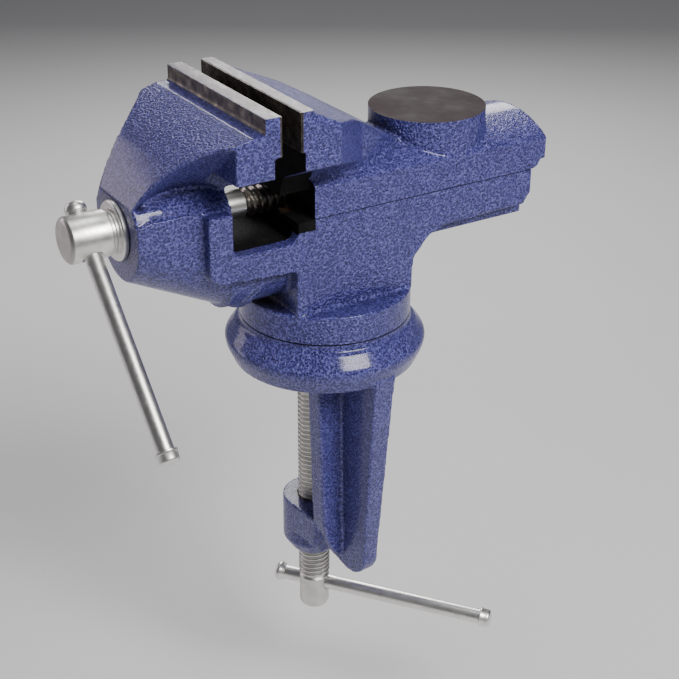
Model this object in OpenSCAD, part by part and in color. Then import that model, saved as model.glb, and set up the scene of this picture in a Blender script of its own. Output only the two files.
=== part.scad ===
// Clamp-on swivel bench vise, an assembly of castings, screws, bars and fasteners.
// The origin is the centre of the bench seat, the flat underside of the clamp flange,
// on the swivel axis. X runs along the spindle (rear positive), Z is up, millimetres.

/* [Jaws] */
// Width of both jaws
jaw_w = 70; // [60:1:80]
// Distance between the gripping faces as the vise is drawn
jaw_gap = 7; // [2:0.5:20]
// Height of the machined gripping faces
grip_h = 13.5; // [10:0.5:16]
// Height of the jaw tops above the bench seat
jaw_top = 108; // [104:1:112]
// Thickness of the ground strip along each jaw top
strip_t = 4.8; // [3:0.2:7]

/* [Body and slide] */
// Radius of the round swivel pedestal
pedestal_r = 31.8; // [28:0.2:36]
// Half width of the slide and of the body's side faces
way_y = 21.5; // [19:0.5:24]
// Height of the spindle axis above the bench seat
spindle_z = 66.5; // [65:0.5:68]
// Height of the sliding face between body and sliding jaw
way_z = 64; // [62:0.5:65]
// Radius of the anvil at the back of the sliding jaw
anvil_r = 21.5; // [18:0.5:23]

/* [Screws and bars] */
// Outside diameter of the spindle thread
spindle_d = 10; // [8:0.5:11]
// Outside diameter of the clamp screw thread
clamp_d = 12.7; // [10:0.1:14]
// Diameter of both sliding bars
bar_d = 6; // [4:0.5:7]
// Length of the spindle bar between its cap faces
spindle_bar_l = 93; // [70:1:100]
// Length of the clamp bar between its cap faces
clamp_bar_l = 93; // [70:1:100]
// Angle of the spindle bar away from straight down
bar_angle = 45; // [0:5:180]

/* [Clamp] */
// Turn of the clamp base about the swivel, against the vise above it
base_turn = 6.5; // [-90:0.5:90]
// Distance of the clamp screw from the swivel axis
clamp_y = 7; // [5:0.5:10]
// Space between the bench seat and the pressure pad as drawn
clamp_gap = 9; // [2:1:40]
// Height of the top of the screw lug below the bench seat
lug_top = 68; // [60:1:75]
// Thickness of the screw lug
lug_t = 24; // [18:1:28]

/* [Hidden] */
$fn = 96;

fit = 0.06;                       // radial running fit on shafts and screws
grip_front = -37;                 // x of the fixed gripping face
grip_rear = grip_front + jaw_gap; // x of the sliding gripping face
hub_x = -80.4;                    // x of the hub face under the spindle flange
head_x = -99.3;                   // x of the spindle head's outer face
wall_x = -46.5;                   // x of the inside of the front wall
window_x = -23.5;                 // x of the window's rear wall
rear_x = 77;                      // x of the body's rear end
seat_h = 18;                      // height of the swivel face
slide_x = grip_rear + 13;         // x of the sliding jaw's nose
slide_end = 83;                   // x of the sliding jaw's rear end
belly_y = 17;                     // half width of the belly
bar_x = -91.5;                    // x of the spindle bar
flange_t = 2;                     // thickness of the spindle flange
nut_r = 8.5;                      // radius of the spindle nut
cap_r = 3.7;                      // radius of the bar caps
cap_l = 4.4;                      // length of the bar caps
spigot_r = 4;                     // radius of the clamp screw's spigot
clamp_bar_z = -111.3;             // height of the clamp bar
clamp_end = -122.5;                 // lowest point of the clamp screw
pad_top = -clamp_gap;             // height of the pad's working face
bolt_seat = 25;                   // height of the floor under the swivel bolt

paint = [0.27, 0.28, 0.58];
steel = [0.78, 0.79, 0.8];
ground = [0.66, 0.65, 0.64];
dark = [0.3, 0.3, 0.32];

// Cylinder along X between two places.
module xcyl(x0, x1, r, z = spindle_z, y = 0) {
    translate([x0, y, z]) rotate([0, 90, 0]) cylinder(h = x1 - x0, r = r);
}

// Washer or ring along X.
module xring(x0, x1, r, bore, z = spindle_z) {
    difference() {
        xcyl(x0, x1, r, z);
        xcyl(x0 - 1, x1 + 1, bore, z);
    }
}

// Box given by its lowest and highest corners.
module block(a, b) {
    translate(a) cube(b - a);
}

// Outline in X and Z, as thick as wanted in Y and centred on the spindle plane.
module side_plate(half) {
    translate([0, half, 0]) rotate([90, 0, 0]) linear_extrude(height = 2 * half) children();
}

// Outline in Y and Z, drawn along X between two places.
module front_plate(x0, x1) {
    translate([x0, 0, 0]) rotate([90, 0, 90]) linear_extrude(height = x1 - x0) children();
}

// Outline in X and Z of the front jaw, a round-topped fan seen from the side.
module fan_side() {
    intersection() {
        translate([grip_front + 1.3, 53.1]) circle(r = 50.8, $fn = 180);
        polygon([[hub_x, 60], [grip_front, 60], [grip_front, jaw_top - 5.5],
                 [hub_x, jaw_top - 5.5]]);
    }
}

// The fan narrows in plan from the full jaw to the hub.
module fan_plan() {
    linear_extrude(height = 130)
        polygon([[hub_x, -14.7], [-53.7, -jaw_w / 2], [grip_front, -jaw_w / 2],
                 [grip_front, jaw_w / 2], [-53.7, jaw_w / 2], [hub_x, 14.7]]);
}

// Round hollow under each side of the fan, its axis sloping down towards the middle.
module fan_hollow() {
    for (s = [0, 1]) mirror([0, s, 0]) translate([-64.15, -36.48, 66.75])
        rotate([0, 132.2, 78.3]) cylinder(h = 90, r = 29, center = true);
}

module front_jaw() {
    difference() {
        intersection() {
            side_plate(jaw_w / 2) fan_side();
            fan_plan();
        }
        intersection() {
            fan_hollow();
            union() {
                block([-90, -60, 20], [-53.7, 60, 120]);
                block([-54, -12.6, 20], [-30, 12.6, 87.4]);
            }
        }
        block([-53.7, -50, 50], [0, -12.5, 87.4]);
        block([-53.7, 12.5, 50], [0, 50, 87.4]);
    }
    block([grip_front - strip_t, -jaw_w / 2, jaw_top - 7], [grip_front, jaw_w / 2, jaw_top]);
}

// Boat-shaped belly from the hub to the pedestal, with rounded shoulders. The round
// parts are a little wider than the flat sides, which cut them all to one width.
module belly() {
    intersection() {
        union() {
            intersection() {
                translate([-72.6, 0, 64.3]) rotate([0, 90 + 26.3, 0])
                    translate([0, 0, -16]) cylinder(h = 60, r = belly_y + 0.5);
                block([-100, -30, 20], [0, 30, 72.5]);
            }
            xcyl(-47, -20, belly_y + 1.1, 48.8);
            side_plate(20) polygon([[-80.5, 68], [-44, 49.9], [-20, 48.6], [-20, way_z - 1],
                                    [-40, 73.5], [-76, 73.5], [-80.5, 72]]);
            intersection() {
                xcyl(-76, wall_x + 1, 20, 62);
                block([-90, -30, 70], [0, 30, 90]);
            }
            intersection() {
                xcyl(-80.5, -70, belly_y + 0.3);
                block([-90, -30, 20], [0, 30, 77]);
            }
        }
        difference() {
            block([hub_x, -belly_y, 20], [0, belly_y, 85]);
            block([-40, -30, way_z], [1, 30, 90]);
        }
    }
}

// Side walls that stand proud of the belly, with the slab and the rear extension.
module side_walls() {
    side_plate(way_y) {
        polygon([[-57.3, 72.6], [-57.3, 53], [-52.3, 48], [-24, 46], [-24.2, 28.7],
                 [24.2, 28.7], [24.6, 40], [31, 47.5], [38, 50.3], [74, 50.8],
                 [rear_x, 55], [rear_x, way_z], [-40, way_z], [-40, 72.6]]);
        translate([-52.3, 53]) circle(r = 5);
    }
    block([20, -16, 45.2], [rear_x, 16, 52]);
}

// Through window above the sill, with rounded lower corners.
module window_cut() {
    r = 3.6;
    sill = 57;
    for (s = [-1, 1])
        translate([0, s * 23, 0]) side_plate(5.9) {
            polygon([[-48.5, sill + r], [-48.5 + r, sill], [window_x - r, sill],
                     [window_x, sill + r], [window_x, 87.4], [-48.5, 87.4]]);
            translate([-48.5 + r, sill + r]) circle(r = r);
            translate([window_x - r, sill + r]) circle(r = r);
        }
    block([wall_x, -17.2, sill], [window_x, 17.2, 79]);
    block([-40, -13.5, sill], [window_x, 13.5, jaw_top - grip_h]);
    block([-39.5, -40, 80], [window_x, 40, jaw_top - grip_h]);
}

// Undercut slot that holds the sliding jaw's keel, open at the rear.
module slide_slot(neck, wide, top, ledge, floor_z, x0, x1) {
    block([x0, -neck, floor_z], [x1, neck, top]);
    block([x0, -wide, floor_z], [x1, wide, ledge]);
}

module vise_body() {
    color(paint) difference() {
        union() {
            front_jaw();
            belly();
            side_walls();
            translate([0, 0, seat_h + 0.8]) cylinder(h = 28.7 - seat_h - 0.8, r = pedestal_r);
            translate([0, 0, seat_h]) cylinder(h = 2, r = pedestal_r - 1.2);
        }
        window_cut();
        slide_slot(10.3, 14.8, way_z + 4, 60.3, 54.5, window_x - 1, rear_x + 1);
        xcyl(hub_x - 1, wall_x + 1, spindle_d / 2 + fit);
        translate([0, 0, seat_h - 1]) cylinder(h = 10, r = 5 + fit);
        translate([0, 0, bolt_seat]) cylinder(h = 40, r = 13);
    }
}

// Outline of the sliding jaw above the slide, in X and Z.
module jaw_back() {
    polygon([[grip_rear + 1.4, 74], [grip_rear + 1.4, jaw_top - grip_h],
             [grip_rear, jaw_top - grip_h], [grip_rear, jaw_top - 5], [grip_rear + strip_t, jaw_top - 0.8],
             [-15, 102.2], [-4.2, 98.6], [3.9, 94.2], [24.5, 82], [24.5, 74]]);
}

module rear_jaw() {
    intersection() {
        side_plate(jaw_w / 2) jaw_back();
        linear_extrude(height = 130)
            polygon([[grip_rear, -jaw_w / 2], [-15, -jaw_w / 2], [3, -19], [26, -10],
                     [26, 10], [3, 19], [-15, jaw_w / 2], [grip_rear, jaw_w / 2]]);
        front_plate(grip_rear, 30)
            polygon([[-jaw_w / 2, 88], [-20, 81], [-18, 76], [-18, 70], [18, 70], [18, 76],
                     [20, 81], [jaw_w / 2, 88], [jaw_w / 2, 120], [-jaw_w / 2, 120]]);
    }
    block([grip_rear, -jaw_w / 2, jaw_top - grip_h], [grip_rear + strip_t, jaw_w / 2, jaw_top]);
}

// Round-backed bar that slides on the body, with its undercut keel.
module slide_bar() {
    difference() {
        intersection() {
            xcyl(slide_x, slide_end, 38.8, 43.7);
            block([slide_x, -way_y, way_z + 0.1], [slide_end, way_y, 90]);
        }
        side_plate(way_y + 1) difference() {
            translate([slide_end - 6, way_z - 1]) square([8, 4.5]);
            translate([slide_end - 6, way_z + 4]) circle(r = 4);
        }
    }
    slide_slot(10, 14.5, way_z + 1, 60, 54.8, slide_x, 60);
}

module sliding_jaw() {
    color(paint) difference() {
        union() {
            rear_jaw();
            slide_bar();
            translate([43.5, 0, 66]) cylinder(h = 23, r = anvil_r);
        }
        xcyl(slide_x - 1, 6, nut_r);
        xcyl(5, 76, 6);
        block([5, -6, 62], [76, 6, spindle_z]);
        for (x = [slide_x + 5, slide_x + 16])
            translate([x, 0, 54]) cylinder(h = spindle_z - 60, r = 1.5);
    }
}

module spindle_nut() {
    color([0.72, 0.6, 0.38]) difference() {
        xcyl(slide_x, 6, nut_r);
        xcyl(slide_x - 1, 7, spindle_d / 2 + fit);
        for (x = [slide_x + 5, slide_x + 16])
            translate([x, 0, 54]) cylinder(h = spindle_z - 60, r = 1.5);
    }
}

module nut_pins() {
    color(steel) for (x = [slide_x + 5, slide_x + 16])
        translate([x, 0, 55]) cylinder(h = spindle_z - 61, r = 1.5);
}

module spindle_screw() {
    color(steel) difference() {
        union() {
            translate([head_x, 0, spindle_z]) rotate([0, 90, 0]) cylinder(h = 1, r1 = 7, r2 = 8);
            xcyl(head_x + 1, hub_x - flange_t, 8);
            xcyl(hub_x - flange_t - 1, wall_x + 1.4, spindle_d / 2);
            xcyl(wall_x + 1.4, wall_x + 2.6, 3.6);
            xcyl(wall_x + 2.6, 57, spindle_d / 2);
            translate([57, 0, spindle_z]) rotate([0, 90, 0]) cylinder(h = 1, r1 = 5, r2 = 4);
        }
        translate([bar_x, 0, spindle_z]) rotate([-bar_angle, 0, 0])
            cylinder(h = 30, r = bar_d / 2 + fit, center = true);
    }
}

module spindle_flange() {
    color(steel) xring(hub_x - flange_t, hub_x, 10.3, spindle_d / 2 + fit);
}

module thrust_washer() {
    color(steel) xring(wall_x, wall_x + 1.3, 7.2, spindle_d / 2 + fit);
}

module spindle_clip() {
    color(dark) difference() {
        xcyl(wall_x + 1.5, wall_x + 2.5, 5.8);
        xcyl(wall_x, wall_x + 4, 3.62);
        block([wall_x, -2.4, spindle_z], [wall_x + 4, 2.4, spindle_z + 10]);
    }
}

// Bar with a groove-free shank; the short end stands up from the screw.
module plain_bar(short, long) {
    translate([0, 0, -long + cap_l - 0.5]) cylinder(h = long + short - 2 * cap_l + 1, r = bar_d / 2);
}

// Rounded cap pressed on a bar end, its open face down.
module bar_cap() {
    difference() {
        rotate_extrude() polygon([[0, 0], [cap_r - 0.3, 0], [cap_r, 0.4], [cap_r, cap_l - 1.6],
                                  [cap_r - 0.5, cap_l - 0.6], [cap_r - 1.5, cap_l], [0, cap_l]]);
        translate([0, 0, -1]) cylinder(h = 1.5, r = bar_d / 2);
    }
}

module both_caps(short, long) {
    translate([0, 0, short - cap_l]) bar_cap();
    translate([0, 0, -long + cap_l]) mirror([0, 0, 1]) bar_cap();
}

// Frame of the spindle bar: local Z points at its short, upper end.
module at_spindle_bar() {
    translate([bar_x, 0, spindle_z]) rotate([-bar_angle, 0, 0]) children();
}

module spindle_bar() {
    color(steel) at_spindle_bar() plain_bar(12.6, spindle_bar_l - 12.6);
}

module spindle_bar_caps() {
    color(steel) at_spindle_bar() both_caps(12.6, spindle_bar_l - 12.6);
}

// Frame of the clamp base, turned about the swivel.
module at_base() {
    rotate([0, 0, base_turn]) children();
}

// Frame of the clamp bar: local Z points at its short end.
module at_clamp_bar() {
    at_base() translate([0, clamp_y, clamp_bar_z]) rotate([0, 0, -58.8]) rotate([0, -90, 0])
        children();
}

module base_flange() {
    rotate_extrude() union() {
        polygon([[0, 0], [34.6, 0], [37.2, 6], [37.6, 8.4], [37, 9.8], [33.6, 14.4],
                 [32, 15.6], [31.8, 17.9], [31.8, seat_h], [0, seat_h]]);
    }
}

// Plate and rib of the arm, and the lug that carries the screw.
module clamp_arm() {
    low = -lug_top - lug_t;
    translate([0, -9, 0]) rotate([90, 0, 0]) linear_extrude(height = 7)
        polygon([[-15.6, 1], [15.6, 1], [12.8, low + 25], [10.8, low + 16.5], [8.3, low + 11.2],
                 [4.5, low + 7.5], [-4.5, low + 7.5], [-8.3, low + 11.2], [-10.8, low + 16.5],
                 [-12.8, low + 25]]);
    intersection() {
        side_rib();
        translate([0, -4, 0]) rotate([90, 0, 0]) linear_extrude(height = 35)
            polygon([[-4.7, 2], [4.7, 2], [3.2, low], [-3.2, low]]);
    }
    intersection() {
        union() {
            translate([0, clamp_y, low + 5]) cylinder(h = lug_t - 5, r = 12.6);
            translate([0, clamp_y, low]) cylinder(h = 5, r1 = 9.4, r2 = 12.6);
            block([-12.6, -10, low + 11.5], [12.6, clamp_y, -lug_top]);
            block([-9.4, -10, low + 7.5], [9.4, clamp_y, -lug_top]);
        }
        block([-20, -20, -130], [20, 40, 0]);
    }
}

// Outline of the outer rib in Y and Z, with a round lower corner.
module side_rib() {
    low = -lug_top - lug_t;
    rotate([90, 0, 90]) translate([0, 0, -6]) linear_extrude(height = 12) union() {
        polygon([[-12, 2], [-36, 2], [-35.4, -3], [-29.2, low + 13], [-26, low + 5],
                 [-19.4, low + 2], [-5, low + 5.4], [-5, low + 17], [-12, low + 17]]);
        translate([-19.3, low + 12]) circle(r = 10);
    }
}

module clamp_frame() {
    color(paint) at_base() difference() {
        union() {
            base_flange();
            clamp_arm();
        }
        translate([0, 0, 4]) cylinder(h = seat_h, r = 5);
        translate([0, clamp_y, -100]) cylinder(h = 40, r = clamp_d / 2 + fit);
    }
}

module swivel_bolt() {
    color(steel) {
        translate([0, 0, bolt_seat + 3.5]) cylinder(h = 6.4, r = 9.2, $fn = 6);
        translate([0, 0, 4.5]) cylinder(h = bolt_seat, r = 5);
    }
}

module swivel_spring_washer() {
    color(steel) translate([0, 0, bolt_seat + 1.5]) difference() {
        cylinder(h = 2, r = 8.6);
        translate([0, 0, -1]) cylinder(h = 4, r = 5 + fit);
        translate([4, -0.6, -1]) cube([6, 1.2, 4]);
    }
}

module swivel_washer() {
    color(steel) translate([0, 0, bolt_seat]) difference() {
        cylinder(h = 1.5, r = 12.4);
        translate([0, 0, -1]) cylinder(h = 4, r = 5 + fit);
    }
}

module clamp_screw() {
    color(steel) difference() {
        at_base() translate([0, clamp_y, 0]) {
            translate([0, 0, clamp_end]) cylinder(h = 1, r1 = 5.2, r2 = 6.1);
            translate([0, 0, clamp_end + 1]) cylinder(h = 14, r = 6.1);
            translate([0, 0, clamp_end + 15]) cylinder(h = pad_top - 9 - clamp_end - 15, r = clamp_d / 2);
            translate([0, 0, pad_top - 10]) cylinder(h = 6.4, r = spigot_r);
            translate([0, 0, pad_top - 3.7]) cylinder(h = 1.2, r = 3.4);
            translate([0, 0, pad_top - 2.5]) cylinder(h = 1.2, r = spigot_r);
        }
        at_clamp_bar() cylinder(h = 30, r = bar_d / 2 + fit, center = true);
    }
}

module pressure_pad() {
    color(steel) at_base() translate([0, clamp_y, pad_top - 9]) difference() {
        rotate_extrude() polygon([[0, 0], [8.5, 0], [9.5, 2.5], [13, 4.6], [13.4, 5.4],
                                  [13.4, 8.4], [12.8, 9], [0, 9]]);
        translate([0, 0, -1]) cylinder(h = 11, r = spigot_r + fit);
        translate([0, 0, 5.2]) cylinder(h = 5, r = 7.5);
    }
}

module pad_clip() {
    color(dark) at_base() translate([0, clamp_y, pad_top - 3.6]) difference() {
        cylinder(h = 1, r = 6);
        translate([0, 0, -1]) cylinder(h = 3, r = 3.42);
        translate([0, -1.8, -1]) cube([10, 3.6, 3]);
    }
}

module clamp_bar() {
    color(steel) at_clamp_bar() plain_bar(17, clamp_bar_l - 17);
}

module clamp_bar_caps() {
    color(steel) at_clamp_bar() both_caps(17, clamp_bar_l - 17);
}

clamp_frame();
swivel_bolt();
swivel_spring_washer();
swivel_washer();
vise_body();
sliding_jaw();
spindle_nut();
nut_pins();
spindle_screw();
spindle_flange();
thrust_washer();
spindle_clip();
spindle_bar();
spindle_bar_caps();
clamp_screw();
pressure_pad();
pad_clip();
clamp_bar();
clamp_bar_caps();
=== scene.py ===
import math

import bmesh
import bpy
import numpy as np
from mathutils import Matrix, Vector


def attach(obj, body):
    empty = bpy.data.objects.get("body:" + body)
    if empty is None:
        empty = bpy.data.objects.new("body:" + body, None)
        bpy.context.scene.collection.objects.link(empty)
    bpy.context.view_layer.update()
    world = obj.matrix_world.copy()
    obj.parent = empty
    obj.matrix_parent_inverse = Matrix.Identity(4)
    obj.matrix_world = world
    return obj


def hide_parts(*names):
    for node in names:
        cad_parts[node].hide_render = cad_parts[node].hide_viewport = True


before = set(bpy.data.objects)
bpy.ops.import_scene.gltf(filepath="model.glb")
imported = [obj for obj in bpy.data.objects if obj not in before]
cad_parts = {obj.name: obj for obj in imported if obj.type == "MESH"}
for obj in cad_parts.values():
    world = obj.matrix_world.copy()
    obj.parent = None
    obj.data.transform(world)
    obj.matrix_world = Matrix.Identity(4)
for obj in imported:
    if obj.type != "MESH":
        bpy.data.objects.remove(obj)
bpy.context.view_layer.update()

MM = 0.001
SCENE = bpy.context.scene

# Places in millimetres, at the same values as in the CAD.
JAW_Y = 35.0
TOP_Z = 108.0
GRIP_Z = 94.5
FRONT_X = -37.0
REAR_X = -30.0
STRIP = 4.8
WAY_Z = 64.0
WAY_Y = 21.5
SPINDLE_Z = 66.5
SEAT_Z = 18.0
ANVIL_X, ANVIL_Z, ANVIL_R = 43.5, 89.0, 21.5
KEEL_FRONT = -17.0
WINDOW_BACK = -24.5
HEAD_X = -99.3
BAR_X = -91.5
HUB_X = -82.4
BAR_R = 3.0
CAP_L = 4.4
IN_CAP = 3.9        # from a bar's end cap to the end of the rod inside it
SCREW_R = 6.35
FOOT_Z = -122.5
CLAMP_BAR_Z = -111.3
THREAD_X = -33.2
FLOOR_Z = -173.5    # clear of the clamp screw at its lowest
FAR = 1000.0        # past every face

# The clamp base is turned under the vise, and its bar is turned again.
BASE_TURN = math.radians(6.5)
CLAMP_XY = (-7.0 * math.sin(BASE_TURN), 7.0 * math.cos(BASE_TURN))
CLAMP_BAR_TURN = math.radians(6.5 - 58.8)
CLAMP_BAR_AXIS = (-math.cos(CLAMP_BAR_TURN), -math.sin(CLAMP_BAR_TURN), 0)


# ---------------------------------------------------------------- node helpers
class Tree:
    """A material's node tree, with short calls for its nodes."""

    def __init__(self, name):
        self.mat = bpy.data.materials.new(name)
        self.mat.use_nodes = True
        self.nodes = self.mat.node_tree.nodes
        self.links = self.mat.node_tree.links
        self.bsdf = self.nodes["Principled BSDF"]
        self.coord = self.nodes.new("ShaderNodeTexCoord").outputs["Object"]

    def put(self, socket, value):
        if isinstance(value, bpy.types.NodeSocket):
            self.links.new(value, socket)
        elif value is not None:
            socket.default_value = value

    def set(self, **values):
        for name, value in values.items():
            self.put(self.bsdf.inputs[name.replace("_", " ")], value)

    def noise(self, scale, detail=3.0, rough=0.5, distort=0.0, vector=None):
        n = self.nodes.new("ShaderNodeTexNoise")
        self.put(n.inputs["Vector"], vector or self.coord)
        n.inputs["Scale"].default_value = scale
        n.inputs["Detail"].default_value = detail
        n.inputs["Roughness"].default_value = rough
        n.inputs["Distortion"].default_value = distort
        return n.outputs["Fac"]

    def cells(self, scale, smooth):
        n = self.nodes.new("ShaderNodeTexVoronoi")
        n.feature = "SMOOTH_F1"
        self.put(n.inputs["Vector"], self.coord)
        n.inputs["Scale"].default_value = scale
        n.inputs["Smoothness"].default_value = smooth
        return n.outputs["Distance"]

    def stretched(self, x, y, z):
        n = self.nodes.new("ShaderNodeMapping")
        self.put(n.inputs["Vector"], self.coord)
        n.inputs["Scale"].default_value = (x, y, z)
        return n.outputs["Vector"]

    def math(self, op, a, b):
        n = self.nodes.new("ShaderNodeMath")
        n.operation = op
        self.put(n.inputs[0], a)
        self.put(n.inputs[1], b)
        return n.outputs[0]

    def ramp(self, value, stops):
        n = self.nodes.new("ShaderNodeValToRGB")
        self.put(n.inputs["Fac"], value)
        el = n.color_ramp.elements
        while len(el) < len(stops):
            el.new(0.5)
        for e, (place, colour) in zip(el, stops):
            e.position = place
            e.color = (*colour, 1.0)
        return n.outputs["Color"]

    def span(self, value, a, b, lo, hi):
        n = self.nodes.new("ShaderNodeMapRange")
        self.put(n.inputs["Value"], value)
        for key, v in zip(("From Min", "From Max", "To Min", "To Max"), (a, b, lo, hi)):
            n.inputs[key].default_value = v
        return n.outputs["Result"]

    def mix(self, fac, a, b):
        n = self.nodes.new("ShaderNodeMix")
        n.data_type = "RGBA"
        self.put(n.inputs["Factor"], fac)
        for socket, value in ((n.inputs[6], a), (n.inputs[7], b)):
            if isinstance(value, tuple):
                value = (*value, 1.0)
            self.put(socket, value)
        return n.outputs[2]

    def bump(self, height, distance, strength=1.0, onto=None):
        n = self.nodes.new("ShaderNodeBump")
        self.put(n.inputs["Height"], height)
        n.inputs["Distance"].default_value = distance
        n.inputs["Strength"].default_value = strength
        self.put(n.inputs["Normal"], onto)
        return n.outputs["Normal"]


# ------------------------------------------------------------------- materials
def hammertone():
    """Blue-violet hammered enamel over a sand casting, with painted shade: darker and less glossy where
    ambient occlusion finds faces close by.
    """
    t = Tree("hammertone_enamel")
    drift = t.noise(42.0, 3.0)
    pebble = t.cells(1150.0, 0.7)
    wrinkle = t.noise(1500.0, 3.0, 0.6, 0.4)
    speck = t.noise(2600.0, 2.0, 0.55)
    grain = t.math("ADD", t.math("MULTIPLY", pebble, 0.8), t.math("MULTIPLY", wrinkle, 0.8))
    fleck = t.math("ADD", t.span(grain, 0.46, 0.90, 0.0, 0.6), t.span(speck, 0.36, 0.64, 0.0, 0.4))
    enamel = t.ramp(fleck, [(0.0, (0.003, 0.003, 0.026)), (0.35, (0.013, 0.013, 0.120)),
                            (0.70, (0.062, 0.062, 0.300)), (1.0, (0.205, 0.205, 0.57))])
    dusty = t.mix(t.span(drift, 0.35, 0.75, 0.0, 0.25), enamel, (0.046, 0.038, 0.15))
    # Painted shade: ambient occlusion mixes the colour towards near-black in corners and recesses, and
    # thins the coat there.
    ao = t.nodes.new("ShaderNodeAmbientOcclusion")
    ao.samples = 6
    ao.inputs["Distance"].default_value = 0.010
    ao_shade = t.span(ao.outputs["AO"], 0.25, 0.75, 1.0, 0.0)
    t.set(Base_Color=t.mix(ao_shade, dusty, (0.006, 0.005, 0.017)), Metallic=0.30)
    t.set(Roughness=t.span(wrinkle, 0.3, 0.7, 0.28, 0.44))
    unshaded = t.math("SUBTRACT", 1.0, ao_shade)
    t.set(Coat_Weight=t.math("MULTIPLY", unshaded, 0.55), Coat_Roughness=0.15)
    soft = t.bump(t.noise(210.0, 2.0), 0.0005, 0.5)
    t.set(Normal=t.bump(grain, 0.00075, 1.0, t.bump(speck, 0.00012, 0.6, soft)))
    return t.mat


def painted_shadow_black():
    """Unpainted oily iron inside the body, made almost black as painted shadow in the hollows."""
    t = Tree("painted_shadow_black")
    stain = t.noise(180.0, 4.0, 0.65)
    grit = t.noise(1300.0, 3.0, 0.6)
    t.set(Base_Color=t.ramp(stain, [(0.35, (0.003, 0.003, 0.004)), (0.62, (0.006, 0.006, 0.007)),
                                    (0.8, (0.018, 0.016, 0.015))]))
    t.set(Metallic=0.0, Roughness=t.span(grit, 0.3, 0.7, 0.6, 0.85), Specular_IOR_Level=0.12)
    t.set(Normal=t.bump(grit, 0.00025, 0.7))
    return t.mat


def ground_iron():
    """Ground and lightly handled bare iron of the jaw tops, bores and slide ways."""
    t = Tree("ground_iron")
    lay = t.noise(1.0, 4.0, 0.6, vector=t.stretched(2600.0, 260.0, 400.0))
    stain = t.noise(120.0, 4.0, 0.6)
    colour = t.ramp(stain, [(0.25, (0.05, 0.047, 0.05)), (0.55, (0.11, 0.105, 0.11)),
                            (0.8, (0.25, 0.24, 0.24))])
    t.set(Base_Color=t.mix(t.span(lay, 0.3, 0.7, 0.0, 0.45), colour, (0.08, 0.075, 0.08)))
    t.set(Metallic=0.8, Roughness=t.span(lay, 0.3, 0.7, 0.32, 0.52))
    t.set(Normal=t.bump(lay, 0.00004, 0.7))
    return t.mat


def anvil_iron():
    """Turned anvil top, dull brown-grey iron with faint rings and handling marks."""
    t = Tree("anvil_iron")
    n = t.nodes.new("ShaderNodeMapping")
    t.put(n.inputs["Vector"], t.coord)
    n.inputs["Location"].default_value = (-ANVIL_X * MM, 0.0, 0.0)
    w = t.nodes.new("ShaderNodeTexWave")
    w.wave_type = "RINGS"
    w.rings_direction = "Z"
    t.put(w.inputs["Vector"], n.outputs["Vector"])
    w.inputs["Scale"].default_value = 420.0
    w.inputs["Distortion"].default_value = 1.5
    stain = t.noise(95.0, 5.0, 0.62)
    pits = t.noise(1500.0, 3.0, 0.7)
    colour = t.ramp(stain, [(0.28, (0.016, 0.008, 0.009)), (0.55, (0.022, 0.011, 0.013)),
                            (0.8, (0.030, 0.017, 0.018))])
    t.set(Base_Color=t.mix(t.span(pits, 0.52, 0.72, 0.0, 0.5), colour, (0.017, 0.013, 0.013)))
    t.set(Metallic=0.0, Roughness=t.span(stain, 0.3, 0.7, 0.66, 0.8))
    t.set(Specular_IOR_Level=0.2)
    t.set(Normal=t.bump(w.outputs["Fac"], 0.00002, 0.5, t.bump(pits, 0.00006, 0.6)))
    return t.mat


def grip_iron():
    """Dark oily iron of the cut gripping faces, worn bright on the points; also used as painted shade on
    the front strip's face towards -X.
    """
    t = Tree("grip_iron")
    stain = t.noise(260.0, 4.0, 0.65)
    colour = t.ramp(stain, [(0.35, (0.035, 0.032, 0.034)), (0.55, (0.10, 0.088, 0.075)),
                            (0.72, (0.24, 0.20, 0.16))])
    t.set(Base_Color=colour, Metallic=0.7, Roughness=t.span(stain, 0.3, 0.7, 0.5, 0.34))
    t.set(Normal=t.bump(t.noise(2200.0, 2.0), 0.00005, 0.5))
    return t.mat


def zinc(name, colour, rough, along):
    """Bright plated steel with drawing marks along one axis and faint cloudiness."""
    t = Tree(name)
    lay = t.noise(1.0, 3.0, 0.6, vector=t.stretched(*along))
    cloud = t.noise(210.0, 4.0, 0.6)
    dull = tuple(c * 0.72 for c in colour)
    t.set(Base_Color=t.mix(t.span(cloud, 0.35, 0.75, 0.0, 0.6), colour, dull), Metallic=1.0)
    t.set(Roughness=t.math("ADD", t.span(lay, 0.3, 0.7, rough, rough + 0.10),
                           t.span(cloud, 0.3, 0.8, 0.0, 0.12)))
    t.set(Normal=t.bump(lay, 0.00002, 0.5, t.bump(cloud, 0.00004, 0.4)))
    return t.mat


PAINT = hammertone()
SHADOW_BLACK = painted_shadow_black()
GROUND = ground_iron()
ANVIL_TOP = anvil_iron()
GRIP = grip_iron()
BRIGHT = zinc("bright_zinc", (0.86, 0.85, 0.83), 0.27, (700.0, 700.0, 700.0))
TURNED = zinc("turned_steel", (0.80, 0.79, 0.77), 0.26, (3200.0, 500.0, 500.0))
MATT_ZINC = zinc("matt_zinc", (0.70, 0.69, 0.66), 0.30, (500.0, 500.0, 3200.0))
FACED = zinc("faced_steel", (0.56, 0.545, 0.52), 0.34, (300.0, 2600.0, 300.0))
THREAD = zinc("oiled_thread", (0.40, 0.375, 0.34), 0.24, (2600.0, 400.0, 400.0))
SPRING = zinc("spring_steel", (0.20, 0.20, 0.21), 0.32, (900.0, 900.0, 900.0))
BRONZE = zinc("turned_bronze", (0.15, 0.105, 0.06), 0.34, (2600.0, 500.0, 500.0))


# ------------------------------------------------------------- mesh primitives
def make(name, bm, mats=()):
    me = bpy.data.meshes.new(name)
    bm.normal_update()
    bm.to_mesh(me)
    bm.free()
    ob = bpy.data.objects.new(name, me)
    SCENE.collection.objects.link(ob)
    for m in mats:
        me.materials.append(m)
    return ob


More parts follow.
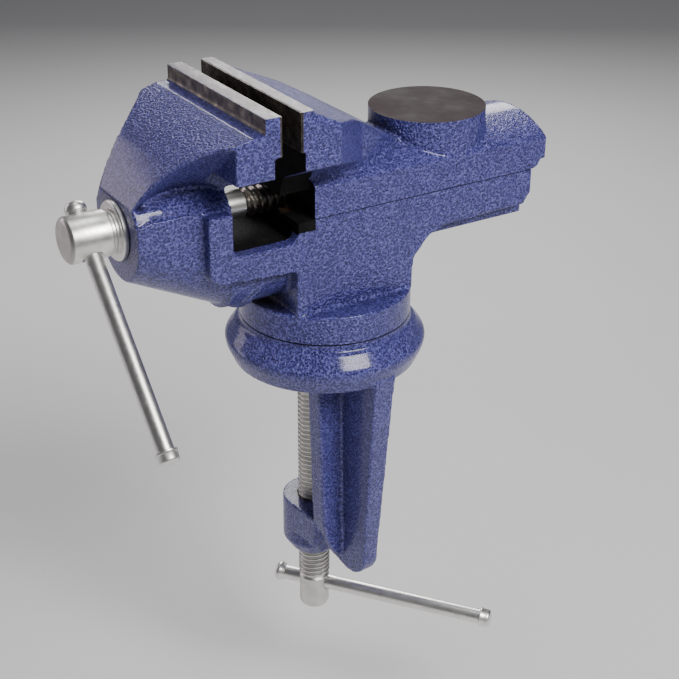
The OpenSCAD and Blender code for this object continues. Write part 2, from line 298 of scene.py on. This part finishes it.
def box_bm(a, b, bm=None):
    bm = bm or bmesh.new()
    size = [(q - p) * MM for p, q in zip(a, b)]
    mid = [(q + p) * MM / 2 for p, q in zip(a, b)]
    bmesh.ops.create_cube(bm, size=1.0, matrix=Matrix.Translation(mid) @ Matrix.Diagonal((*size, 1)))
    return bm


def along(axis):
    """Rotation that takes +Z to the given direction."""
    return Vector((0, 0, 1)).rotation_difference(Vector(axis).normalized()).to_matrix().to_4x4()


def rod_bm(start, axis, length, r, n=96):
    bm = bmesh.new()
    mid = Vector(start) + Vector(axis).normalized() * length / 2
    m = Matrix.Translation(mid * MM) @ along(axis)
    bmesh.ops.create_cone(bm, cap_ends=True, segments=n, radius1=r * MM, radius2=r * MM,
                          depth=length * MM, matrix=m)
    return bm


def lathe_bm(profile, start, axis, n=96, bm=None):
    """Turned solid; profile is (distance along, radius), closed at both ends on the axis."""
    bm = bm or bmesh.new()
    m = Matrix.Translation(Vector(start) * MM) @ along(axis)
    rings = []
    for t, r in profile:
        if r < 1e-6:
            rings.append([bm.verts.new(m @ Vector((0, 0, t * MM)))])
        else:
            turn = [2 * math.pi * k / n for k in range(n)]
            rings.append([bm.verts.new(m @ Vector((r * MM * math.cos(a), r * MM * math.sin(a), t * MM)))
                          for a in turn])
    for p, q in zip(rings, rings[1:]):
        for k in range(n):
            j = (k + 1) % n
            if len(p) == 1:
                bm.faces.new((p[0], q[k], q[j])[::-1])
            elif len(q) == 1:
                bm.faces.new((p[k], p[j], q[0]))
            else:
                bm.faces.new((p[k], p[j], q[j], q[k]))
    bmesh.ops.recalc_face_normals(bm, faces=bm.faces)
    return bm


def thread_bm(start, axis, length, r, depth, pitch, crest, root, run_in, n=64, rows=14):
    """Right-hand screw thread cut on a rod; crest and root are flat shares of the pitch."""
    bm = bmesh.new()
    m = Matrix.Translation(Vector(start) * MM) @ along(axis)
    count = int(length / pitch * rows)
    flank = (1.0 - crest - root) / 2
    theta = np.arange(n) / n
    rings = []
    for i in range(count + 1):
        t = length * i / count
        u = (t / pitch - theta) % 1.0
        cut = np.interp(u, [0, crest / 2, crest / 2 + flank, 1 - crest / 2 - flank, 1 - crest / 2, 1],
                        [0, 0, 1, 1, 0, 0])
        ends = min(1.0, t / (run_in * pitch), (length - t) / (run_in * pitch))
        rad = r - depth * np.maximum(cut, 1.0 - ends)
        a = 2 * np.pi * theta
        rings.append([bm.verts.new(m @ Vector((x * MM, y * MM, t * MM)))
                      for x, y in zip(rad * np.cos(a), rad * np.sin(a))])
    for p, q in zip(rings, rings[1:]):
        for k in range(n):
            j = (k + 1) % n
            bm.faces.new((p[k], p[j], q[j], q[k]))
    bm.faces.new(rings[0][::-1])
    bm.faces.new(rings[-1])
    bmesh.ops.recalc_face_normals(bm, faces=bm.faces)
    return bm


def carve(ob, cutters):
    """Machines a piece: takes each cutter off it."""
    for cut in cutters:
        mod = ob.modifiers.new("cut", "BOOLEAN")
        mod.operation = "DIFFERENCE"
        mod.solver = "MANIFOLD"
        mod.object = cut
    bake(ob)
    for cut in cutters:
        bpy.data.objects.remove(cut)


def bake(ob):
    """Applies every modifier."""
    bpy.context.view_layer.update()
    dg = bpy.context.evaluated_depsgraph_get()
    me = bpy.data.meshes.new_from_object(ob.evaluated_get(dg))
    old = ob.data
    ob.modifiers.clear()
    ob.data = me
    bpy.data.meshes.remove(old)


def join(ob, *others):
    """Adds other pieces' meshes to a piece, keeping its material slots."""
    bm = bmesh.new()
    bm.from_mesh(ob.data)
    for o in others:
        bm.from_mesh(o.data)
        bpy.data.objects.remove(o)
    bm.to_mesh(ob.data)
    bm.free()
    return ob


def shade(ob, angle=40.0):
    ob.data.polygons.foreach_set("use_smooth", np.ones(len(ob.data.polygons), bool))
    ob.data.set_sharp_from_angle(angle=math.radians(angle))
    return ob


def chamfer(bm, width):
    """Small rounded edges on a crisp solid."""
    edges = [e for e in bm.edges if e.is_manifold and e.calc_face_angle(0) > math.radians(30)]
    bmesh.ops.bevel(bm, geom=edges, offset=width * MM, segments=2, affect="EDGES", profile=0.5)
    return bm


# --------------------------------------------------------------------- casting
def relax(me, rounds, fill_rounds):
    """Rounds every edge a little, then fills inner corners with a wider fillet."""
    n = len(me.vertices)
    co = np.empty(n * 3)
    me.vertices.foreach_get("co", co)
    co = co.reshape(-1, 3)
    e = np.empty(len(me.edges) * 2, np.int64)
    me.edges.foreach_get("vertices", e)
    a, b = e[0::2], e[1::2]
    deg = np.maximum(np.bincount(a, minlength=n) + np.bincount(b, minlength=n), 1)
    nor = np.empty(n * 3, np.float32)
    for k in range(rounds + fill_rounds):
        mean = np.empty_like(co)
        for c in range(3):
            mean[:, c] = (np.bincount(a, co[b, c], n) + np.bincount(b, co[a, c], n)) / deg
        step = mean - co
        if k >= rounds:
            me.vertices.foreach_set("co", co.ravel())
            me.update()
            me.vertex_normals.foreach_get("vector", nor)
            rise = (step * nor.reshape(-1, 3)).sum(1)
            step *= (np.clip((rise / MM - 0.012) / 0.03, 0, 1))[:, None]
        co = co + 0.6 * step
    me.vertices.foreach_set("co", co.ravel())
    me.update()


def casting(node, name, stock, cutters):
    """A rough casting: the CAD solid with extra stock, rounded edges and fillets, then machined."""
    bm = bmesh.new()
    bm.from_mesh(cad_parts[node].data)
    ob = make(name, bm)
    for s in stock:
        join(ob, s)
    mod = ob.modifiers.new("remesh", "REMESH")
    mod.mode = "VOXEL"
    mod.voxel_size = 0.5 * MM
    bake(ob)
    relax(ob.data, rounds=2, fill_rounds=4)
    carve(ob, cutters)
    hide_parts(node)
    return ob


def paint_faces(ob, mats, rule):
    """Gives each face the material that rule(centre, normal) picks, both in arrays."""
    me = ob.data
    me.materials.clear()
    for m in mats:
        me.materials.append(m)
    n = len(me.polygons)
    mid = np.empty(n * 3, np.float32)
    nor = np.empty(n * 3, np.float32)
    me.polygons.foreach_get("center", mid)
    me.polygons.foreach_get("normal", nor)
    kind = rule(mid.reshape(-1, 3) / MM, nor.reshape(-1, 3))
    me.polygons.foreach_set("material_index", kind.astype(np.int32))
    me.update()


def solid(a, b):
    return make("tool", box_bm(a, b))


def rod(start, axis, length, r):
    return make("tool", rod_bm(start, axis, length, r))


def grip_plate(x_face, out):
    """Cut gripping face: rows of small pyramids below the face plane, which looks along out."""
    pitch, depth, step = 1.5, 0.40, 0.25
    ys = np.arange(-JAW_Y + 0.2, JAW_Y - 0.199, step)
    zs = np.arange(GRIP_Z + 0.1, TOP_Z - 0.049, step)
    bm = bmesh.new()
    grid = []
    for y in ys:
        line = []
        for z in zs:
            u = abs(((y + z) / pitch) % 1.0 - 0.5) * 2
            v = abs(((y - z) / pitch) % 1.0 - 0.5) * 2
            low = depth * min(1.0, 1.35 * max(0.0, max(u, v) - 0.22))
            if min(y - ys[0], ys[-1] - y, z - zs[0], zs[-1] - z) < 0.3:
                low = 0.0
            line.append(bm.verts.new(((x_face - out * low) * MM, y * MM, z * MM)))
        grid.append(line)
    for p, q in zip(grid, grid[1:]):
        for k in range(len(zs) - 1):
            bm.faces.new((p[k], p[k + 1], q[k + 1], q[k]))
    rim = [e for e in bm.edges if e.is_boundary]
    ext = bmesh.ops.extrude_edge_only(bm, edges=rim)
    moved = [v for v in ext["geom"] if isinstance(v, bmesh.types.BMVert)]
    for v in moved:
        v.co.x = (x_face - out * 0.9) * MM
    bmesh.ops.holes_fill(bm, edges=[e for e in bm.edges if e.is_boundary], sides=0)
    bmesh.ops.recalc_face_normals(bm, faces=bm.faces)
    return make("plate", bm)


def within(c, x, side, z):
    """Faces with a centre between two x and two z places, and nearer the middle plane than side."""
    return ((c[:, 0] > x[0]) & (c[:, 0] < x[1]) & (np.abs(c[:, 1]) < side)
            & (c[:, 2] > z[0]) & (c[:, 2] < z[1]))


def flat_top(c, n, z):
    """Faces of a machined plane that looks up at one height."""
    return (np.abs(c[:, 2] - z) < 0.02) & (n[:, 2] > 0.9)


def build_body():
    stock = [
        # front strip, gripping face, slide ways, swivel seat
        solid((FRONT_X - STRIP, -JAW_Y, 101), (FRONT_X + 1.2, JAW_Y, TOP_Z + 1.4)),
        solid((FRONT_X - 6, -JAW_Y, GRIP_Z + 0.4), (FRONT_X + 1.2, JAW_Y, TOP_Z)),
        solid((WINDOW_BACK + 1, -WAY_Y, 61), (77, WAY_Y, WAY_Z + 1.5)),
        rod((0, 0, 16.2), (0, 0, 1), 6, 31.8),
    ]
    cutters = [
        # gripping face, jaw top, ways, the ways' front end, keel slot and its T, seat, spindle bore
        solid((FRONT_X - 0.42, -50, GRIP_Z), (-10, 50, 130)),
        solid((-60, -50, TOP_Z), (-20, 50, 130)),
        solid((-39.9, -50, WAY_Z), (90, 50, 94)),
        solid((-39.9, -50, WAY_Z - 0.03), (KEEL_FRONT - 0.2, 50, 94)),
        solid((WINDOW_BACK, -10.3, 60.2), (90, 10.3, 70)),
        solid((WINDOW_BACK, -14.8, 54.5), (90, 14.8, 60.3)),
        solid((-60, -60, 0), (60, 60, SEAT_Z + 0.25)),
        rod((-90, 0, SPINDLE_Z), (1, 0, 0), 52, 5.06),
    ]
    ob = casting("vise_body", "vise_body_casting", stock, cutters)
    join(ob, grip_plate(FRONT_X, 1))
    pits = [
        # spindle room, its top, grip recess, end of the ways, keel slot: x range, side, z range; their
        # faces get the near-black painted shadow
        ((-46.2, -16.5), 17.3, (55, 79.2)),
        ((-39.9, -16.5), 17.3, (79, 86.8)),
        ((-39.4, -16.5), 34, (80, GRIP_Z - 0.1)),
        ((-25, -16.5), WAY_Y + 1, (60, FAR)),
        ((-25, FAR), 14.9, (54.2, 63.7)),
    ]

    def rule(c, n):
        kind = np.zeros(len(c))
        kind[flat_top(c, n, TOP_Z) | flat_top(c, n, WAY_Z)] = 1
        kind[within(c, (FRONT_X - 0.95, FRONT_X + 0.02), FAR, (GRIP_Z - 0.01, FAR))] = 2
        # The front strip's face towards -X gets the dark grip iron as painted shade for a side that
        # faces away from the lamps.
        kind[within(c, (-FAR, FRONT_X - STRIP + 0.4), FAR, (102, FAR)) & (n[:, 0] < -0.7)] = 2
        kind[(np.hypot(c[:, 1], c[:, 2] - SPINDLE_Z) < 5.1) & (c[:, 0] < -30)] = 1
        for x, side, z in pits:
            kind[within(c, x, side, z)] = 3
        return kind

    paint_faces(ob, (PAINT, GROUND, GRIP, SHADOW_BLACK), rule)
    shade(ob, 48)
    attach(ob, "vise")


def build_slider():
    stock = [
        # gripping face, underside, anvil
        solid((REAR_X - 1.2, -JAW_Y, GRIP_Z + 0.4), (REAR_X + STRIP, JAW_Y, TOP_Z + 1.4)),
        solid((KEEL_FRONT, -WAY_Y, 62), (77, WAY_Y, WAY_Z + 2)),
        rod((ANVIL_X, 0, ANVIL_Z - 3), (0, 0, 1), 4.4, ANVIL_R),
    ]
    cutters = [
        # gripping face, recess under it, jaw top, anvil top, underside
        solid((-60, -50, GRIP_Z), (REAR_X + 0.42, 50, 130)),
        solid((-60, -50, 60), (REAR_X + 1.4, 50, GRIP_Z)),
        solid((-60, -50, TOP_Z), (-20, 50, 130)),
        solid((20, -30, ANVIL_Z), (70, 30, 100)),
        solid((-60, -50, 40), (100, 50, WAY_Z + 0.3)),
    ]
    ob = casting("sliding_jaw", "sliding_jaw_casting", stock, cutters)
    keel = bmesh.new()
    box_bm((KEEL_FRONT, -10, 58), (60, 10, 66), keel)
    box_bm((KEEL_FRONT, -14.5, 54.8), (60, 14.5, 60), keel)
    keel = make("keel", chamfer(keel, 0.4))
    carve(keel, [rod((KEEL_FRONT - 1, 0, SPINDLE_Z), (1, 0, 0), 90, 8.5)])
    # The gripping face stays a hair back, so that closed jaws don't share one plane.
    join(ob, grip_plate(REAR_X + 0.02, -1), keel)

    def rule(c, n):
        under = c[:, 2] < WAY_Z + 0.32
        kind = np.zeros(len(c))
        kind[flat_top(c, n, TOP_Z)] = 1
        kind[flat_top(c, n, ANVIL_Z) & (c[:, 0] > 20)] = 3
        kind[under] = 1
        # Painted shadow: the keel and the underside around it, the front of the slide and the recess
        # under the gripping face get the near-black iron, bare iron darkened as the shade in these
        # hollows.
        kind[under & ((np.abs(c[:, 1]) < 14.6) | (c[:, 0] < -16.5))] = 4
        kind[within(c, (-FAR, -16.5), FAR, (-FAR, GRIP_Z - 0.2)) & (n[:, 0] < -0.6)] = 4
        kind[within(c, (-FAR, -17.5), 21, (-FAR, 84))] = 4
        kind[within(c, (REAR_X - 0.02, REAR_X + 0.95), FAR, (GRIP_Z - 0.01, FAR))] = 2
        return kind

    paint_faces(ob, (PAINT, GROUND, GRIP, ANVIL_TOP, SHADOW_BLACK), rule)
    shade(ob, 48)
    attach(ob, "jaw")


def build_base():
    cx, cy = CLAMP_XY
    stock = [rod((0, 0, 15), (0, 0, 1), 4.6, 31.8)]
    cutters = [
        # swivel seat, screw bore, its countersink
        solid((-60, -60, SEAT_Z - 0.25), (60, 60, 40)),
        rod((cx, cy, -100), (0, 0, 1), 50, 6.42),
        rod((cx, cy, -93), (0, 0, 1), 2.6, 7.3),
    ]
    ob = casting("clamp_frame", "clamp_frame_casting", stock, cutters)

    def rule(c, n):
        near = np.hypot(c[:, 0] - cx, c[:, 1] - cy) < 7.4
        kind = np.zeros(len(c))
        kind[near & (c[:, 2] < -60)] = 1
        kind[flat_top(c, n, SEAT_Z - 0.25)] = 1
        return kind

    paint_faces(ob, (PAINT, GROUND), rule)
    shade(ob, 48)
    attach(ob, "base")


# ------------------------------------------------------------- screws and bars
def build_spindle():
    """Head, collar, shank and thread of the main screw, with the bar's cross hole."""
    head = lathe_bm([(0, 0), (0, 6.3), (0.06, 6.75), (0.35, 7.25), (0.95, 7.85), (1.3, 8.0),
                     (14.4, 8.0), (14.8, 7.7), (14.9, 7.1), (15.9, 7.1), (16.1, 7.9), (16.9, 7.9),
                     (16.9, 0)], (HEAD_X, 0, SPINDLE_Z), (1, 0, 0))
    head = make("head", head)
    bar = Vector((0, math.sin(math.radians(45)), math.cos(math.radians(45))))
    hole = lathe_bm([(-12, 0), (-12, 7), (-7.9, 3.95), (-7.0, 3.3), (7.0, 3.3), (7.9, 3.95), (12, 7),
                     (12, 0)], (BAR_X, 0, SPINDLE_Z), bar)
    carve(head, [make("hole", hole)])
    shank = lathe_bm([(0, 0), (0, 5), (37.1, 5), (37.3, 4.85), (37.3, 3.6), (38.5, 3.6), (38.5, 4.85),
                      (38.7, 5.0), (48.0, 5.0), (48.5, 4.5), (49.4, 3.6), (51.5, 3.5), (51.5, 0)],
                     (HUB_X, 0, SPINDLE_Z), (1, 0, 0))
    screw = thread_bm((THREAD_X, 0, SPINDLE_Z), (1, 0, 0), 91.0, 5.0, 1.55, 3.0, 0.34, 0.30, 0.35)
    ob = join(head, make("shank", shank), make("screw", screw))
    ob.name = "spindle_turned"

    def rule(c, n):
        kind = (c[:, 0] > HUB_X - 0.05) * 1.0
        kind[(c[:, 0] < -98.2) & (n[:, 0] < -0.5)] = 2
        kind[(c[:, 0] > -34)] = 3
        return kind

    paint_faces(ob, (BRIGHT, TURNED, FACED, THREAD), rule)
    shade(ob, 32)
    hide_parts("spindle_screw")
    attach(ob, "spindle")
    ring = lathe_bm([(0, 4.9), (0, 9.7), (0.15, 10.05), (0.5, 10.3), (1.5, 10.3), (1.85, 10.15),
                     (2, 9.8), (2, 4.9), (0, 4.9)], (HUB_X, 0, SPINDLE_Z), (1, 0, 0))
    bmesh.ops.remove_doubles(ring, verts=ring.verts, dist=1e-7)
    ring = shade(make("spindle_collar_ring", ring, (BRIGHT,)), 32)
    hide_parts("spindle_flange")
    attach(ring, "spindle")


def build_clamp_screw():
    """Foot with the bar's cross hole, thread, and the tip that the pad turns on."""
    cx, cy = CLAMP_XY
    up = (0, 0, 1)
    foot = lathe_bm([(0, 0), (0, 4.6), (0.35, 5.3), (1.0, 5.85), (1.9, 6.1), (14.4, 6.1), (15.2, 5.3),
                     (18, 5.3), (18, 0)], (cx, cy, FOOT_Z), up)
    foot = make("foot", foot)
    hole = lathe_bm([(-11, 0), (-11, 7), (-6.05, 3.6), (-5.5, 3.15), (5.5, 3.15), (6.05, 3.6), (11, 7),
                     (11, 0)], (cx, cy, CLAMP_BAR_Z), CLAMP_BAR_AXIS)
    carve(foot, [make("hole", hole)])
    screw = thread_bm((cx, cy, -107), up, 88.96, SCREW_R, 1.15, 2.0, 0.24, 0.16, 0.4, 72, 12)
    tip = lathe_bm([(0, 0), (0, 4), (5.3, 4), (5.4, 3.4), (6.5, 3.4), (6.6, 4), (7.4, 4), (7.8, 3.6),
                    (7.8, 0)], (cx, cy, -18.2), up)
    ob = join(foot, make("screw", screw), make("tip", tip))
    ob.name = "clamp_screw_turned"
    paint_faces(ob, (MATT_ZINC,), lambda c, n: c[:, 0] * 0)
    shade(ob, 32)
    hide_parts("clamp_screw")
    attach(ob, "clamp")


def build_bar(stem, mid, axis, short, long, body, end_short, end_long):
    """Sliding bar with a turned cap pressed on each end; short and long are its two reaches."""
    axis = Vector(axis).normalized()
    low = Vector(mid) - axis * (long - IN_CAP)
    length = long + short - 2 * IN_CAP
    shaft = lathe_bm([(0, 0), (0, 2.6), (0.4, BAR_R), (length - 0.4, BAR_R), (length, 2.6), (length, 0)],
                     low, axis, 72)
    shaft = shade(make(stem + "_rod", shaft, (BRIGHT,)), 32)
    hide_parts(stem)
    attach(shaft, body)
    caps = lathe_bm(end_short, Vector(mid) + axis * (short - CAP_L), axis, 72)
    lathe_bm(end_long, Vector(mid) - axis * (long - CAP_L), -axis, 72, caps)
    caps = shade(make(stem + "_cap_pair", caps, (BRIGHT,)), 40)
    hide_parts(stem + "_caps")
    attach(caps, body)


# Turned outlines of the three kinds of cap: distance from the inner end, radius.
BALL = [(0, 0), (0, 3.05), (0.1, 3.2), (0.5, 3.5), (1.0, 3.68), (1.7, 3.78), (2.4, 3.7), (3.1, 3.4),
        (3.7, 2.8), (4.15, 1.9), (4.35, 1.0), (CAP_L, 0)]
DRUM = [(0, 0), (0, 3.05), (0.03, 3.6), (0.2, 3.85), (0.6, 3.9), (0.9, 3.75), (1.1, 3.6), (3.2, 3.55),
        (3.75, 3.35), (4.15, 2.9), (4.35, 2.2), (CAP_L, 1.2), (CAP_L, 0)]
MUSHROOM = [(0, 0), (0, 3.05), (0.3, 3.15), (1.1, 3.35), (1.7, 3.75), (2.1, 3.95), (2.6, 4.0),
            (3.2, 3.85), (3.8, 3.3), (4.2, 2.4), (CAP_L, 1.2), (CAP_L, 0)]


def dress_cad():
    """Materials and small edge breaks for the CAD parts that stay."""
    wanted = {
        "swivel_bolt": MATT_ZINC, "swivel_spring_washer": SPRING, "swivel_washer": MATT_ZINC,
        "spindle_nut": BRONZE, "nut_pins": SPRING, "thrust_washer": BRIGHT, "spindle_clip": SPRING,
        "pressure_pad": MATT_ZINC, "pad_clip": SPRING,
    }
    for node, mat in wanted.items():
        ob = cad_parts[node]
        ob.data.materials.clear()
        ob.data.materials.append(mat)
        weld = ob.modifiers.new("weld", "WELD")
        weld.merge_threshold = 1e-6
        edge = ob.modifiers.new("edge", "BEVEL")
        edge.width = 0.00018
        edge.segments = 2
        edge.limit_method = "ANGLE"
        edge.angle_limit = math.radians(40)
        edge.harden_normals = False


# ------------------------------------------------------------ camera and light
def camera():
    """Camera at the photograph's viewing angle."""
    az, el, roll = (math.radians(v) for v in (-32.0809, 27.4356, 0.3403))
    right = Vector((math.cos(az), math.sin(az), 0))
    back = Vector((math.sin(az) * math.cos(el), -math.cos(az) * math.cos(el), math.sin(el)))
    up = back.cross(right)
    r2 = math.cos(roll) * right + math.sin(roll) * up
    u2 = -math.sin(roll) * right + math.cos(roll) * up
    cam = bpy.data.cameras.new("camera")
    cam.sensor_width = 36.0
    cam.lens = 74.82486
    cam.clip_start = 0.02
    ob = bpy.data.objects.new("camera", cam)
    SCENE.collection.objects.link(ob)
    m = Matrix((r2, u2, back)).transposed().to_4x4()
    m.translation = Vector((-0.246297, -0.403373, 0.249389))
    ob.matrix_world = m
    SCENE.camera = ob


def softbox(name, direction, distance, size, power, colour):
    """Soft rectangular lamp in metres and watts, aimed at the middle of the vise."""
    lamp = bpy.data.lights.new(name, "AREA")
    lamp.shape = "RECTANGLE"
    lamp.size, lamp.size_y = size
    lamp.energy = power
    lamp.color = colour
    ob = bpy.data.objects.new(name, lamp)
    SCENE.collection.objects.link(ob)
    d = Vector(direction).normalized()
    ob.matrix_world = Matrix.Translation(Vector((-0.005, 0.0, 0.03)) + d * distance) @ along(d)


def studio():
    """Plain pale floor, dim surroundings and five soft lamps."""
    t = Tree("pale_floor")
    t.set(Base_Color=t.mix(t.noise(6.0, 2.0), (0.72, 0.72, 0.73), (0.76, 0.76, 0.77)), Roughness=0.7)
    bm = bmesh.new()
    bmesh.ops.create_grid(bm, x_segments=8, y_segments=8, size=3.0)
    floor = make("floor", bm, (t.mat,))
    floor.location.z = FLOOR_Z * MM
    world = bpy.data.worlds.new("studio")
    world.use_nodes = True
    world.node_tree.nodes["Background"].inputs[0].default_value = (0.80, 0.82, 0.88, 1)
    world.node_tree.nodes["Background"].inputs[1].default_value = 0.10
    SCENE.world = world
    softbox("key", (0.13, -0.73, 0.67), 0.85, (0.40, 0.28), 8.7, (1.0, 0.98, 0.95))
    softbox("front", (-0.42, -0.86, 0.30), 1.0, (0.5, 0.35), 0.25, (1.0, 1.0, 1.0))
    softbox("back_left", (-0.58, 0.80, 0.17), 0.9, (0.7, 0.22), 1.6, (1.0, 0.88, 0.95))
    softbox("back_right", (0.47, 0.75, 0.46), 0.9, (0.5, 0.3), 4.4, (1.0, 0.98, 0.96))
    softbox("top", (0.0, 0.1, 1.0), 0.9, (0.4, 0.4), 1.6, (1.0, 1.0, 1.0))


camera()
build_body()
build_slider()
build_base()
build_spindle()
build_clamp_screw()
build_bar("spindle_bar", (BAR_X, 0, SPINDLE_Z), (0, 1, 1), 12.6, 80.4, "spindle_handle", BALL, DRUM)
build_bar("clamp_bar", (*CLAMP_XY, CLAMP_BAR_Z), CLAMP_BAR_AXIS, 17, 76, "clamp_handle", MUSHROOM, DRUM)
dress_cad()
studio()
